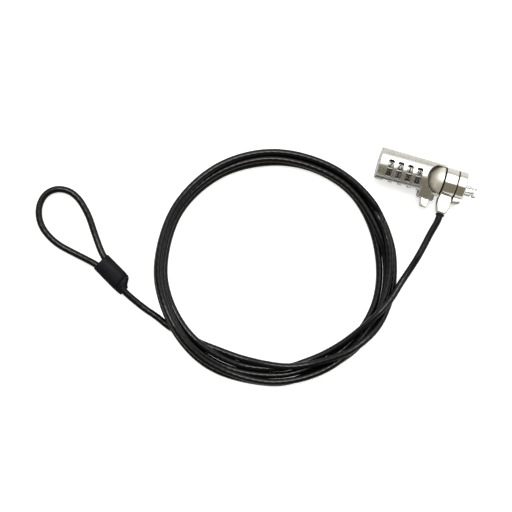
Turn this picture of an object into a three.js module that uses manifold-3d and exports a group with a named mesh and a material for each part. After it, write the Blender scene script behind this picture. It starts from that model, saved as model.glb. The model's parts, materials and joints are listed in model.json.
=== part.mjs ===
// A four-dial laptop cable lock with its coiled security cable, in millimetres, +Z up.
// The lock lies along X with its hooks towards +X; the cable leaves the collar towards -Y.
import * as THREE from 'three';
import { mergeVertices } from 'three/addons/utils/BufferGeometryUtils.js';
import Module from 'manifold-3d';

const wasm = await Module();
wasm.setup();

// ---- driving dimensions; X, Y, Z are measured from the barrel's left end, on its axis ----
const BARREL_R = 9.55;
const BARREL_END = 39.1;
const BORE_R = 8.75;
const BORE_END = 28.3;
const PIVOT_X = 37.9;
const SCOOP_R = 8.8;
const SCOOP_FLOOR = -8.2;

const DIALS = 4;
const DIAL_X = 6.76;
const DIAL_PITCH = 5.78;
const DIAL_W = 5.1;
const DIAL_FACE_R = 8.05;
const RIDGE_R = 8.58;
const DIAL_BORE_R = 5.4;
const DIGITS = 10;
const HUB_R = 5.2;
const SPINDLE_R = 1.6;

const WINDOW_W = 3.4;
const WINDOW_AT = -14.5;
const WINDOW_HALF = 31;
const FINGER_W = 3.6;
const FINGER_AT = -106;
const FINGER_HALF = 34;

const BOSS_X0 = 27.0;
const BOSS_X1 = 37.2;
const BOSS_END = -13.2;
const BOSS_END_HALF = 3.6;
const BUTTON_X0 = 29.6;
const BUTTON_X1 = 34.7;
const BUTTON_HALF = 2.4;
const BUTTON_TIP = -18.1;

const HEAD_R = 8.65;
const DOME_R = 7.9;
const DOME_X = 39.2;
const DOME_BASE = 39.0;
const NECK_R = 5.7;
const COLLAR_X0 = 39.9;
const COLLAR_X1 = 47.15;
const CAP_X0 = 47.85;
const CAP_X1 = 53.0;
const CAP_LOBE_AT = -8.09;
const CAP_LOBE_R = 3.57;
const LUG_MID = 43.5;
const LUG_HALF_Z = 3.0;
const HOOK_TIP = 60.6;
const HOOK_HALF_Z = 1.1;

const CABLE_R = 2.0;
const COIL = { x: -72.4, y: -70.8, inner: 60.6, outer: 72.6, height: 9.0 };
const CRIMP = { x: -164.6, y: -101.4, z: 3.9, angle: -29.3, halfLength: 9.0 };
const STRAND_OFFSET = 2.7;

// The frame's origin is the middle of the lock's underside, without its cable.
const ORIGIN = new THREE.Vector3(-30.3, 5.475, BARREL_R);

const nickel = { color: 0xc9c5bd, roughness: 0.32, metalness: 1 };
const satinNickel = { color: 0xb9b5ad, roughness: 0.45, metalness: 1 };
const steel = { color: 0x9a9a98, roughness: 0.35, metalness: 1 };
const brass = { color: 0xb59a58, roughness: 0.4, metalness: 1 };
const dialMetal = { color: 0x8e8b86, roughness: 0.42, metalness: 1 };
const aluminium = { color: 0xb8babc, roughness: 0.5, metalness: 1 };
const blackNylon = { color: 0x141414, roughness: 0.6, metalness: 0 };
const blackVinyl = { color: 0x0d0d0e, roughness: 0.3, metalness: 0 };

// ---- helpers ----
const lock = new THREE.Group();
lock.position.copy(ORIGIN);
const cable = new THREE.Group();
const part = new THREE.Group();
part.add(lock, cable);

const axisX = new THREE.Vector3(1, 0, 0);
const axisY = new THREE.Vector3(0, 1, 0);
const axisZ = new THREE.Vector3(0, 0, 1);
const alongX = new THREE.Matrix4().makeBasis(axisY, axisZ, axisX);

function toSolid(geometry) {
  const bare = geometry.index ? geometry.toNonIndexed() : geometry.clone();
  bare.deleteAttribute('normal');
  bare.deleteAttribute('uv');
  const merged = mergeVertices(bare, 1e-4);
  const vertProperties = new Float32Array(merged.attributes.position.array);
  const triVerts = new Uint32Array(merged.index.array);
  return new wasm.Manifold(new wasm.Mesh({ numProp: 3, vertProperties, triVerts }));
}

function toGeometry(solid) {
  const mesh = solid.getMesh();
  const geometry = new THREE.BufferGeometry();
  geometry.setAttribute('position', new THREE.BufferAttribute(new Float32Array(mesh.vertProperties), 3));
  geometry.setIndex(new THREE.BufferAttribute(new Uint32Array(mesh.triVerts), 1));
  geometry.computeVertexNormals();
  return geometry;
}

function join(...geometries) {
  return toGeometry(geometries.map(toSolid).reduce((a, b) => a.add(b)));
}

function cut(geometry, ...tools) {
  return toGeometry(tools.map(toSolid).reduce((a, b) => a.subtract(b), toSolid(geometry)));
}

function common(a, b) {
  return toGeometry(toSolid(a).intersect(toSolid(b)));
}

function add(group, name, geometry, finish) {
  const mesh = new THREE.Mesh(geometry, new THREE.MeshStandardMaterial(finish));
  mesh.name = name;
  group.add(mesh);
}

// A box from its lowest to its highest corner.
function box(x0, x1, y0, y1, z0, z1) {
  const geometry = new THREE.BoxGeometry(x1 - x0, y1 - y0, z1 - z0);
  return geometry.translate((x0 + x1) / 2, (y0 + y1) / 2, (z0 + z1) / 2);
}

// A profile of [x, r] pairs that starts and ends on the X axis, turned about it.
function turned(profile, sides = 48) {
  const points = profile.map(([x, r]) => new THREE.Vector2(r, x));
  return new THREE.LatheGeometry(points, sides).rotateZ(-Math.PI / 2);
}

function rod(x0, x1, r, sides = 32) {
  return turned([[x0, 0], [x0, r], [x1, r], [x1, 0]], sides);
}

function rodAlongY(x, z, y0, y1, r, sides = 24) {
  return new THREE.CylinderGeometry(r, r, y1 - y0, sides).translate(x, (y0 + y1) / 2, z);
}

function rodAlongZ(x, y, z0, z1, r, sides = 24) {
  const geometry = new THREE.CylinderGeometry(r, r, z1 - z0, sides).rotateX(Math.PI / 2);
  return geometry.translate(x, y, (z0 + z1) / 2);
}

function polygon(points) {
  return new THREE.Shape(points.map(([a, b]) => new THREE.Vector2(a, b)));
}

function roundedRect(w, h, r) {
  const shape = new THREE.Shape();
  shape.absarc(w / 2 - r, h / 2 - r, r, 0, Math.PI / 2);
  shape.absarc(r - w / 2, h / 2 - r, r, Math.PI / 2, Math.PI);
  shape.absarc(r - w / 2, r - h / 2, r, Math.PI, Math.PI * 1.5);
  shape.absarc(w / 2 - r, r - h / 2, r, Math.PI * 1.5, Math.PI * 2);
  return shape;
}

function prism(shape, depth, curveSegments = 4) {
  return new THREE.ExtrudeGeometry(shape, { depth, bevelEnabled: false, curveSegments });
}

// An outline in the XY plane, given height z0 to z1, its edges rounded by r without growing.
function plate(shape, z0, z1, r) {
  const options = {
    depth: z1 - z0 - 2 * r,
    bevelThickness: r,
    bevelSize: r,
    bevelOffset: -r,
    bevelSegments: 3,
    curveSegments: 6,
  };
  return new THREE.ExtrudeGeometry(shape, options).translate(0, 0, z0 + r);
}

// A spring of round wire along +X, its ends left square.
function helix(x0, x1, r, wire, turns) {
  const points = [];
  const steps = turns * 8;
  for (let i = 0; i <= steps; i += 1) {
    const angle = (i / 8) * 2 * Math.PI;
    const x = x0 + wire + ((x1 - x0 - 2 * wire) * i) / steps;
    points.push(new THREE.Vector3(x, r * Math.cos(angle), r * Math.sin(angle)));
  }
  const path = new THREE.CatmullRomCurve3(points);
  const section = polygon(ring(wire, 5));
  return new THREE.ExtrudeGeometry(section, { steps, bevelEnabled: false, extrudePath: path });
}

function ring(r, sides) {
  return Array.from({ length: sides }, (_, i) => {
    const angle = (i / sides) * 2 * Math.PI;
    return [r * Math.cos(angle), r * Math.sin(angle)];
  });
}

// ---- barrel ----
// A cutter that points straight out of the barrel, angle degrees from the top towards +Y.
function radialCutter(x, width, angle, halfAngle, r0) {
  const span = 2 * BARREL_R * Math.sin(THREE.MathUtils.degToRad(halfAngle));
  const depth = BARREL_R + 2 - r0;
  const geometry = prism(roundedRect(width, span, 0.7), depth).translate(0, 0, r0);
  return geometry.rotateX(-THREE.MathUtils.degToRad(angle)).translate(x, 0, 0);
}

function dialCentre(i) {
  return DIAL_X + i * DIAL_PITCH;
}

function makeBoss() {
  const flank = THREE.MathUtils.degToRad(29);
  const topY = -BARREL_R * Math.sin(flank);
  const topZ = BARREL_R * Math.cos(flank);
  const section = polygon([
    [topY, topZ], [BOSS_END + 0.6, BOSS_END_HALF + 0.35], [BOSS_END, BOSS_END_HALF - 0.4],
    [BOSS_END, 0.4 - BOSS_END_HALF], [BOSS_END + 0.6, -BOSS_END_HALF - 0.35], [topY, -topZ],
  ]);
  const r = 1.3;
  const options = {
    depth: BOSS_X1 - BOSS_X0 - 2 * r,
    bevelThickness: r,
    bevelSize: r,
    bevelOffset: -r,
    bevelSegments: 4,
  };
  return new THREE.ExtrudeGeometry(section, options).applyMatrix4(alongX).translate(BOSS_X0 + r, 0, 0);
}

function makeBarrel() {
  const edge = 0.45;
  const outside = turned([
    [0, 0], [0, BARREL_R - edge], [edge * 0.3, BARREL_R - edge * 0.3], [edge, BARREL_R],
    [BARREL_END, BARREL_R], [BARREL_END, 0],
  ], 60);
  const body = join(outside, makeBoss());
  const tools = [
    rod(-1, BORE_END, BORE_R, 48),
    rod(BORE_END - 1, BARREL_END, SPINDLE_R + 0.2, 20),
    rodAlongZ(PIVOT_X, 0, SCOOP_FLOOR, BARREL_R + 1, SCOOP_R, 60),
    rodAlongY(PIVOT_X, 0, -BARREL_R - 1, BARREL_R + 1, 0.75, 16),
    // the push button's pocket and the channel of its fork
    box(BUTTON_X0 - 0.2, BUTTON_X1 + 0.4, BOSS_END - 1, -8.4, -BUTTON_HALF - 0.2, BUTTON_HALF + 0.2),
    box(28.0, 29.5, -12.2, -5.0, -3.2, 3.2),
    // room for the cable lug, on either side of the barrel, when the barrel is folded up
    box(34.9, BARREL_END + 1, BOSS_END - 1, -7.5, 1.1, BARREL_R),
    box(34.7, BARREL_END + 1, 7.5, BARREL_R + 1, 1.5, BARREL_R),
    // the click spring's groove along the bottom of the bore
    box(3.6, 27.2, -1.7, 1.7, -9.1, -8.5),
  ];
  for (let i = 0; i < DIALS; i += 1) {
    tools.push(radialCutter(dialCentre(i), WINDOW_W, WINDOW_AT, WINDOW_HALF, 6));
    tools.push(radialCutter(dialCentre(i), FINGER_W, FINGER_AT, FINGER_HALF, 6));
  }
  return cut(body, ...tools);
}

function makeDial(i) {
  const x = dialCentre(i);
  const half = DIAL_W / 2;
  const outline = [];
  for (let k = 0; k < DIGITS; k += 1) {
    const at = (k / DIGITS) * 360;
    outline.push([at - 3.5, DIAL_FACE_R], [at - 2, RIDGE_R], [at + 2, RIDGE_R], [at + 3.5, DIAL_FACE_R]);
    outline.push([at + 9, DIAL_FACE_R], [at + 18, DIAL_FACE_R], [at + 27, DIAL_FACE_R]);
  }
  const shape = polygon(outline.map(([angle, r]) => {
    const a = THREE.MathUtils.degToRad(-WINDOW_AT + angle);
    return [-r * Math.sin(a), r * Math.cos(a)];
  }));
  shape.holes.push(new THREE.Path(ring(DIAL_BORE_R, 30).map(([a, b]) => new THREE.Vector2(a, b))));
  return prism(shape, DIAL_W).applyMatrix4(alongX).translate(x - half, 0, 0);
}

// The code disc inside a dial, with the slot that the spindle's fin passes when the code is right.
function makeHub(i) {
  const x = dialCentre(i);
  const disc = rod(x - 2.3, x - 0.3, HUB_R, 28);
  const bore = rod(x - 3, x, SPINDLE_R + 0.25, 20);
  const slot = box(x - 3, x, -0.8, 0.8, 0, 3.7);
  return cut(disc, bore, slot);
}

function makeSpindle() {
  const pieces = [
    rod(5.0, 29.6, SPINDLE_R, 20),
    rod(27.35, 28.0, 3.2, 24),
  ];
  for (let i = 0; i < DIALS; i += 1) {
    const x = dialCentre(i);
    pieces.push(box(x + 1.0, x + 2.2, -0.6, 0.6, 0, 3.4));
  }
  return join(...pieces);
}

function makeClickSpring() {
  const strip = box(3.9, 26.9, -1.4, 1.4, -8.98, -8.72);
  const slots = [];
  for (let i = 0; i < DIALS - 1; i += 1) {
    const x = dialCentre(i) + DIAL_PITCH / 2;
    slots.push(box(x - 0.25, x + 0.25, -2, 0.9, -9.5, -8));
  }
  return cut(strip, ...slots);
}

function makeEndCap() {
  return cut(rod(0.1, 2.3, BORE_R - 0.12, 40), rod(-1, 3, 1.7, 24));
}

function makeResetScrew() {
  return cut(rod(0.3, 2.3, 1.5), box(0, 0.9, -0.3, 0.3, -2, 2));
}

function makeWasher(x0, x1, r0, r1) {
  return cut(rod(x0, x1, r1, 36), rod(x0 - 1, x1 + 1, r0, 36));
}

function makeButton() {
  const shape = polygon([
    [BUTTON_X0, -10.7], [BUTTON_X0, -13.6], [BUTTON_X0 + 0.7, BUTTON_TIP + 0.5], [BUTTON_X0 + 1.1, BUTTON_TIP],
    [BUTTON_X1 - 0.6, BUTTON_TIP], [BUTTON_X1 - 0.2, BUTTON_TIP + 0.5], [BUTTON_X1, -13.6], [BUTTON_X1, -10.7],
  ]);
  return plate(shape, -BUTTON_HALF, BUTTON_HALF, 0.45);
}

// The button's fork: two wedge prongs that push the spindle's collar away from the head.
function makeFork() {
  const shape = polygon([
    [29.35, -12.0], [29.35, -7.4], [28.15, -7.4], [28.15, -2.9],
    [28.05, -2.9], [27.05, -5.1], [27.05, -8.0], [28.45, -8.0], [28.45, -12.0],
  ]);
  const body = prism(shape, 6).translate(0, 0, -3);
  return cut(body, box(26, 28.4, -6.4, -2, -1.85, 1.85));
}

// ---- head ----
function makeHeadCore() {
  const profile = [[DOME_X - DOME_R, 0]];
  const last = Math.acos((DOME_X - DOME_BASE) / DOME_R);
  for (let i = 1; i <= 9; i += 1) {
    const a = (last * i) / 9;
    profile.push([DOME_X - DOME_R * Math.cos(a), DOME_R * Math.sin(a)]);
  }
  profile.push([DOME_BASE, NECK_R], [47.75, NECK_R], [47.75, 4.6], [49.4, 4.6], [49.4, 0]);
  return cut(
    turned(profile, 36),
    rod(30, 42, 0.7, 12),
    rod(41, 50, 1.35, 20),
    rodAlongY(PIVOT_X, 0, 4, 9, 0.75, 16),
    rodAlongY(PIVOT_X, 0, -9, -4, 0.75, 16),
  );
}

function makeCollar() {
  const edge = 0.25;
  const profile = [
    [COLLAR_X0, 0], [COLLAR_X0, HEAD_R - edge], [COLLAR_X0 + edge, HEAD_R],
    [COLLAR_X1 - edge, HEAD_R], [COLLAR_X1, HEAD_R - edge], [COLLAR_X1, 0],
  ];
  const drum = turned(profile, 48);
  const outline = new THREE.Shape();
  outline.moveTo(LUG_MID - 3.6, -5);
  outline.lineTo(LUG_MID - 3.6, -8.6);
  outline.lineTo(LUG_MID - 4.1, -11.5);
  outline.bezierCurveTo(LUG_MID - 4.1, -15.0, LUG_MID - 3.3, -17.0, LUG_MID - 2.5, -19.0);
  outline.lineTo(LUG_MID + 2.5, -19.0);
  outline.bezierCurveTo(LUG_MID + 3.3, -17.0, LUG_MID + 4.1, -15.0, LUG_MID + 4.1, -11.5);
  outline.lineTo(LUG_MID + 3.6, -8.6);
  outline.lineTo(LUG_MID + 3.6, -5);
  const lug = plate(outline, -LUG_HALF_Z, LUG_HALF_Z, 0.95);
  return cut(
    join(drum, lug),
    rod(COLLAR_X0 - 2, COLLAR_X1 + 2, NECK_R + 0.2, 36),
    rodAlongY(LUG_MID, 0, -20, -9.5, 2.3),
  );
}

function makeFrontCap() {
  const edge = 0.9;
  const round = [[CAP_X0, 0], [CAP_X0, HEAD_R]];
  for (let i = 0; i <= 4; i += 1) {
    const a = (i / 4) * (Math.PI / 2);
    round.push([CAP_X1 - edge + edge * Math.sin(a), HEAD_R - edge + edge * Math.cos(a)]);
  }
  round.push([CAP_X1, 0]);
  const drum = turned(round, 48);
  const section = new THREE.Shape();
  section.absarc(CAP_LOBE_AT, 0, CAP_LOBE_R, Math.PI / 2, Math.PI * 1.5);
  section.lineTo(-5, -CAP_LOBE_R);
  section.lineTo(-5, CAP_LOBE_R);
  const lobe = prism(section, 10, 12).applyMatrix4(alongX).translate(CAP_X0, 0, 0);
  const outline = new THREE.Shape();
  outline.moveTo(CAP_X0, -5);
  outline.lineTo(CAP_X0, -13);
  outline.lineTo(CAP_X1 - 3.6, -13);
  outline.absarc(CAP_X1 - 3.4, -8.7, 3.0, -Math.PI / 2, 0);
  outline.lineTo(CAP_X1 - 0.4, -5);
  const ear = common(lobe, prism(outline, 10, 8).translate(0, 0, -5));
  return cut(
    join(drum, ear),
    rod(CAP_X0 - 1, 51.8, 4.85, 28),
    box(49.7, 51.8, -5.6, 3.5, -1.5, 1.5),
    box(51, CAP_X1 + 1, -5.1, 2.3, -1.4, 1.4),
    rodAlongZ(50.85, 2.2, -5.5, 5.5, 0.55, 16),
  );
}

// A hook: a root held in the cap and a shank notched on its outer side behind a rounded tip.
function hookOutline(inner, outer, rootInner, rootOuter) {
  const side = Math.sign(outer - inner);
  const shape = new THREE.Shape();
  shape.moveTo(50.1, rootInner);
  shape.lineTo(51.6, rootInner);
  shape.lineTo(51.9, inner);
  shape.lineTo(HOOK_TIP - 0.8, inner);
  shape.quadraticCurveTo(HOOK_TIP, inner + side * 0.1, HOOK_TIP, inner + side * 0.8);
  shape.quadraticCurveTo(HOOK_TIP - 0.1, outer + side * 0.15, HOOK_TIP - 1.2, outer + side * 0.15);
  shape.lineTo(HOOK_TIP - 2.3, outer);
  shape.lineTo(HOOK_TIP - 2.3, inner + side * 0.6);
  shape.lineTo(HOOK_TIP - 3.4, inner + side * 0.6);
  shape.lineTo(HOOK_TIP - 3.4, outer - side * 0.1);
  shape.lineTo(52.0, outer - side * 0.1);
  shape.lineTo(51.6, rootOuter);
  shape.lineTo(50.1, rootOuter);
  return shape;
}

function makeMovingHook() {
  const body = plate(hookOutline(-0.05, 1.6, 1.3, 3.0), -HOOK_HALF_Z, HOOK_HALF_Z, 0.15);
  return cut(body, rodAlongZ(50.85, 2.2, -2, 2, 0.55, 16));
}

function makeFixedHook() {
  return plate(hookOutline(-3.0, -4.65, -3.4, -5.2), -HOOK_HALF_Z, HOOK_HALF_Z, 0.15);
}

// The bolt between the hooks, drawn back with the spindle.
function makeLockPin() {
  const shaft = rod(42.2, 50.9, 1.15, 24);
  const bridge = box(50.6, 51.5, -2.7, 0.6, -0.8, 0.8);
  const blade = plate(polygon([
    [50.8, -2.7], [58.6, -2.7], [59.4, -2.4], [59.4, -1.6], [58.6, -1.3], [50.8, -1.3],
  ]), -0.9, 0.9, 0.15);
  return join(shaft, bridge, blade);
}

// ---- cable: route points in the part's own frame ----
const LEAD = [
  [13.2, -15.5, 9.4], [13.1, -17.5, 9.1], [12.5, -20.5, 8.4], [11.1, -26.1, 7.4], [9.5, -34.4, 6.6],
  [7.6, -42.9, 6.3], [5.3, -51.0, 6.4], [2.5, -59.8, 6.6],
];
const TAIL = [
  [-162.4, -105.7, 3.9], [-160.3, -106.9, 3.9], [-157.6, -108.4, 3.8], [-153.3, -110.6, 3.3], [-150.2, -112.2, 2.8],
  [-144.4, -114.8, 2.2], [-138.9, -117.0, 2.05], [-131.6, -119.4, 2.05],
];
const EYE = [
  [-169.4, -101.8, 3.9], [-171.6, -100.6, 3.9], [-174.5, -99.6, 3.8], [-182.6, -97.9, 2.9], [-191.8, -96.2, 2.2],
  [-197.5, -95.0, 2.05], [-201.6, -93.7, 2.05], [-207.8, -90.5, 2.05], [-212.8, -86.3, 2.05], [-216.4, -80.0, 2.05],
  [-217.3, -73.6, 2.05], [-215.2, -66.9, 2.05], [-209.6, -62.6, 2.05], [-202.3, -62.0, 2.05],
  [-196.0, -64.7, 2.05], [-191.3, -68.7, 2.05], [-187.0, -73.3, 2.05], [-182.8, -79.3, 2.05],
  [-178.4, -85.5, 2.4], [-174.6, -90.4, 3.2], [-171.3, -93.9, 3.8], [-169.0, -95.9, 3.9], [-166.8, -97.1, 3.9],
];

function cableTube(route, steps) {
  const path = new THREE.CatmullRomCurve3(route.map((p) => new THREE.Vector3(...p)), false, 'centripetal');
  return new THREE.ExtrudeGeometry(polygon(ring(CABLE_R, 8)), { steps, bevelEnabled: false, extrudePath: path });
}

function makeCoil() {
  const { inner, outer, height } = COIL;
  const edge = 2;
  const profile = [
    [inner + edge, 0], [outer - edge, 0], [outer, edge], [outer, height - edge],
    [outer - edge, height], [inner + edge, height], [inner, height - edge], [inner, edge],
  ];
  const points = profile.map(([r, z]) => new THREE.Vector2(r, z));
  points.push(points[0].clone());
  return new THREE.LatheGeometry(points, 44).rotateX(Math.PI / 2).translate(COIL.x, COIL.y, 0);
}

// The crimp lies along its own X axis; local Y separates the two strands.
function placeCrimp(geometry) {
  return geometry.rotateZ(THREE.MathUtils.degToRad(CRIMP.angle)).translate(CRIMP.x, CRIMP.y, CRIMP.z);
}

function stadium(halfWidth, r) {
  const shape = new THREE.Shape();
  shape.absarc(halfWidth - r, 0, r, -Math.PI / 2, Math.PI / 2);
  shape.absarc(r - halfWidth, 0, r, Math.PI / 2, Math.PI * 1.5);
  return shape;
}

function makeFerrule() {
  const depth = 13;
  const body = prism(stadium(5.5, 2.9), depth, 10).applyMatrix4(alongX).translate(-depth / 2, 0, 0);
  const holes = [1, -1].map((side) => rod(-10, 10, CABLE_R + 0.25, 20).translate(0, side * STRAND_OFFSET, 0));
  return placeCrimp(cut(body, ...holes));
}

function makeSleeve() {
  const depth = 2 * CRIMP.halfLength;
  const body = prism(stadium(6.4, 3.75), depth, 10).applyMatrix4(alongX);
  const bore = prism(stadium(5.75, 3.15), depth + 2, 10).applyMatrix4(alongX);
  body.translate(-CRIMP.halfLength, 0, 0);
  bore.translate(-CRIMP.halfLength - 1, 0, 0);
  return placeCrimp(cut(body, bore));
}

// ---- assembly ----
add(lock, 'barrel_shell', makeBarrel(), satinNickel);
add(lock, 'end_cap', makeEndCap(), satinNickel);
add(lock, 'reset_screw', makeResetScrew(), steel);
add(lock, 'wave_washer', makeWasher(3.0, 3.6, 6.2, 8.5), steel);
add(lock, 'click_spring', makeClickSpring(), steel);
for (let i = 0; i < DIALS; i += 1) {
  add(lock, `dial_${i + 1}`, makeDial(i), dialMetal);
  add(lock, `dial_hub_${i + 1}`, makeHub(i), brass);
}
for (let i = 0; i < DIALS - 1; i += 1) {
  const x = dialCentre(i) + DIAL_PITCH / 2;
  add(lock, `dial_spacer_${i + 1}`, makeWasher(x - 0.18, x + 0.18, 6.0, 8.5), steel);
}
add(lock, 'spindle', makeSpindle(), brass);
add(lock, 'spindle_spring', helix(2.5, 4.8, 1.2, 0.2, 3), steel);
add(lock, 'push_button', makeButton(), nickel);
add(lock, 'button_fork', makeFork(), steel);
for (const [name, side] of [['pivot_pin_left', 1], ['pivot_pin_right', -1]]) {
  const ends = [side * 4.4, side * 9.4].sort((a, b) => a - b);
  add(lock, name, rodAlongY(PIVOT_X, 0, ends[0], ends[1], 0.62), steel);
}
add(lock, 'head_core', makeHeadCore(), satinNickel);
add(lock, 'rear_washer', makeWasher(39.15, 39.75, NECK_R + 0.2, 8.35), blackNylon);
add(lock, 'swivel_collar', makeCollar(), nickel);
add(lock, 'front_washer', makeWasher(47.27, 47.68, NECK_R + 0.2, 8.35), blackNylon);
add(lock, 'front_cap', makeFrontCap(), nickel);
add(lock, 'hook_fixed', makeFixedHook(), steel);
add(lock, 'hook_moving', makeMovingHook(), steel);
add(lock, 'hook_pin', rodAlongZ(50.85, 2.2, -5.3, 5.3, 0.42, 16), steel);
add(lock, 'lock_pin', makeLockPin(), steel);
add(lock, 'pull_cable', rod(32.6, 41.9, 0.4, 12), steel);
add(lock, 'cable_end_ferrule', rodAlongY(LUG_MID, 0, -18.6, -9.8, 2.1), aluminium);
add(lock, 'cable_grommet', rodAlongY(LUG_MID, 0, -20.5, -19.1, 2.6), blackNylon);

add(cable, 'cable_lead', cableTube(LEAD, 16), blackVinyl);
add(cable, 'cable_coil', makeCoil(), blackVinyl);
add(cable, 'cable_tail', cableTube(TAIL, 12), blackVinyl);
add(cable, 'cable_eye', cableTube(EYE, 44), blackVinyl);
add(cable, 'crimp_ferrule', makeFerrule(), aluminium);
add(cable, 'crimp_sleeve', makeSleeve(), blackVinyl);

export default part;
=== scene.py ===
import json
import math

import bmesh
import bpy
import numpy as np
from mathutils import Matrix, Vector


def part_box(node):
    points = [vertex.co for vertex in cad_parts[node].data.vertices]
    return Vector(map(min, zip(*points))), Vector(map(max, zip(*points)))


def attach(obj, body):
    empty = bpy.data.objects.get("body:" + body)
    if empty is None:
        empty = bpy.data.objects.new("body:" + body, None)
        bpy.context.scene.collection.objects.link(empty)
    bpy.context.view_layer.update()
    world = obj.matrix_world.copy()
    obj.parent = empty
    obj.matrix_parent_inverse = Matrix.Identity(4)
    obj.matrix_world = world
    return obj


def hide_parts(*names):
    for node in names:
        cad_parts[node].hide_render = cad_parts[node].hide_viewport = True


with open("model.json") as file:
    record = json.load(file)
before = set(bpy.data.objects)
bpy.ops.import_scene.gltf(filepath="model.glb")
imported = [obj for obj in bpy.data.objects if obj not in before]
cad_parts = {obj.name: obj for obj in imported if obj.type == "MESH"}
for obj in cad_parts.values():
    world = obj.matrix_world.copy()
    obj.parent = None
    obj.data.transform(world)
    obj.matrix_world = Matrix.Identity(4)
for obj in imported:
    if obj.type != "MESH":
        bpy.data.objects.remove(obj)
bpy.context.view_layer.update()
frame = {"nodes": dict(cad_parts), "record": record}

MM = 0.001

# ---------------------------------------------------------------- camera
camera_data = bpy.data.cameras.new("camera")
camera_data.sensor_width = 36.0
camera_data.lens = 84.4
camera = bpy.data.objects.new("camera", camera_data)
bpy.context.scene.collection.objects.link(camera)
camera.location = (-0.0845, -0.0680, 0.720)
camera.rotation_euler = (0.0, 0.0, math.radians(16.2))
bpy.context.scene.camera = camera


# ---------------------------------------------------------------- mesh helpers
def new_object(name, mesh):
    obj = bpy.data.objects.new(name, mesh)
    bpy.context.scene.collection.objects.link(obj)
    return obj


def mesh_object(name, verts, faces):
    mesh = bpy.data.meshes.new(name)
    mesh.from_pydata([tuple(v) for v in verts], [], faces)
    mesh.update()
    return new_object(name, mesh)


def apply_modifiers(obj):
    graph = bpy.context.evaluated_depsgraph_get()
    done = bpy.data.meshes.new_from_object(obj.evaluated_get(graph))
    obj.modifiers.clear()
    old = obj.data
    obj.data = done
    bpy.data.meshes.remove(old)


def boolean(obj, other, operation):
    mod = obj.modifiers.new("boolean", "BOOLEAN")
    mod.operation = operation
    mod.solver = "EXACT"
    mod.object = other
    apply_modifiers(obj)
    bpy.data.objects.remove(other)


def cut(obj, *tools):
    for tool in tools:
        boolean(obj, tool, "DIFFERENCE")
    return obj


def join(obj, *others):
    for other in others:
        boolean(obj, other, "UNION")
    return obj


def bevel(obj, width, segments=2, angle=32):
    mod = obj.modifiers.new("bevel", "BEVEL")
    mod.width = width
    mod.segments = segments
    mod.limit_method = "ANGLE"
    mod.angle_limit = math.radians(angle)
    mod.use_clamp_overlap = False
    mod.miter_outer = "MITER_ARC"
    apply_modifiers(obj)
    return obj


def tidy(obj, merge=0.002):
    bm = bmesh.new()
    bm.from_mesh(obj.data)
    bmesh.ops.remove_doubles(bm, verts=bm.verts, dist=merge)
    bmesh.ops.dissolve_degenerate(bm, edges=bm.edges, dist=merge)
    bmesh.ops.recalc_face_normals(bm, faces=bm.faces)
    bm.to_mesh(obj.data)
    bm.free()
    return obj


def smooth(obj, angle=38):
    obj.data.shade_smooth()
    obj.data.set_sharp_from_angle(angle=math.radians(angle))
    return obj


# ---- shapes in the barrel's own frame: millimetres from its left end, on its axis ----
def turned(name, profile, sides=96):
    """A closed solid of [x, r] pairs turned about the X axis; both ends are on the axis."""
    verts, faces = [], []
    rings = []
    for x, r in profile:
        if r < 1e-6:
            rings.append([len(verts)])
            verts.append((x, 0, 0))
        else:
            rings.append(list(range(len(verts), len(verts) + sides)))
            for k in range(sides):
                a = 2 * math.pi * k / sides
                verts.append((x, r * math.sin(a), r * math.cos(a)))
    for a, b in zip(rings, rings[1:]):
        for k in range(sides):
            n = (k + 1) % sides
            if len(a) == 1 and len(b) > 1:
                faces.append((a[0], b[n], b[k]))
            elif len(b) == 1 and len(a) > 1:
                faces.append((a[k], a[n], b[0]))
            elif len(a) > 1:
                faces.append((a[k], a[n], b[n], b[k]))
    return tidy(mesh_object(name, verts, faces), 1e-5)


def ring_of(name, profile, sides=96):
    """A closed ring: a loop of [x, r] pairs that never meets the axis, turned about X."""
    verts, faces = [], []
    count = len(profile)
    for k in range(sides):
        a = 2 * math.pi * k / sides
        for x, r in profile:
            verts.append((x, r * math.sin(a), r * math.cos(a)))
    for k in range(sides):
        n = (k + 1) % sides
        for i in range(count):
            j = (i + 1) % count
            faces.append((k * count + i, k * count + j, n * count + j, n * count + i))
    return tidy(mesh_object(name, verts, faces), 1e-5)


def rod(name, x0, x1, r, sides=64):
    return turned(name, [(x0, 0), (x0, r), (x1, r), (x1, 0)], sides)


def turn_about(obj, matrix):
    obj.data.transform(matrix)
    obj.data.update()
    return obj


def rod_z(name, x, y, z0, z1, r, sides=64):
    obj = rod(name, z0, z1, r, sides)
    turn_about(obj, Matrix.Rotation(-math.pi / 2, 4, "Y"))
    return turn_about(obj, Matrix.Translation((x, y, 0)))


def rod_y(name, x, z, y0, y1, r, sides=64):
    obj = rod(name, y0, y1, r, sides)
    turn_about(obj, Matrix.Rotation(math.pi / 2, 4, "Z"))
    return turn_about(obj, Matrix.Translation((x, 0, z)))


def box(name, x0, x1, y0, y1, z0, z1):
    verts = [(x, y, z) for x in (x0, x1) for y in (y0, y1) for z in (z0, z1)]
    faces = [(0, 1, 3, 2), (4, 6, 7, 5), (0, 4, 5, 1), (2, 3, 7, 6), (0, 2, 6, 4), (1, 5, 7, 3)]
    return mesh_object(name, verts, faces)


def prism(name, outline, z0, z1):
    """An outline of [x, y] points given height from z0 to z1."""
    n = len(outline)
    verts = [(x, y, z0) for x, y in outline] + [(x, y, z1) for x, y in outline]
    faces = [tuple(range(n))[::-1], tuple(range(n, 2 * n))]
    faces += [(i, (i + 1) % n, n + (i + 1) % n, n + i) for i in range(n)]
    return tidy(mesh_object(name, verts, faces), 1e-5)


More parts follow.
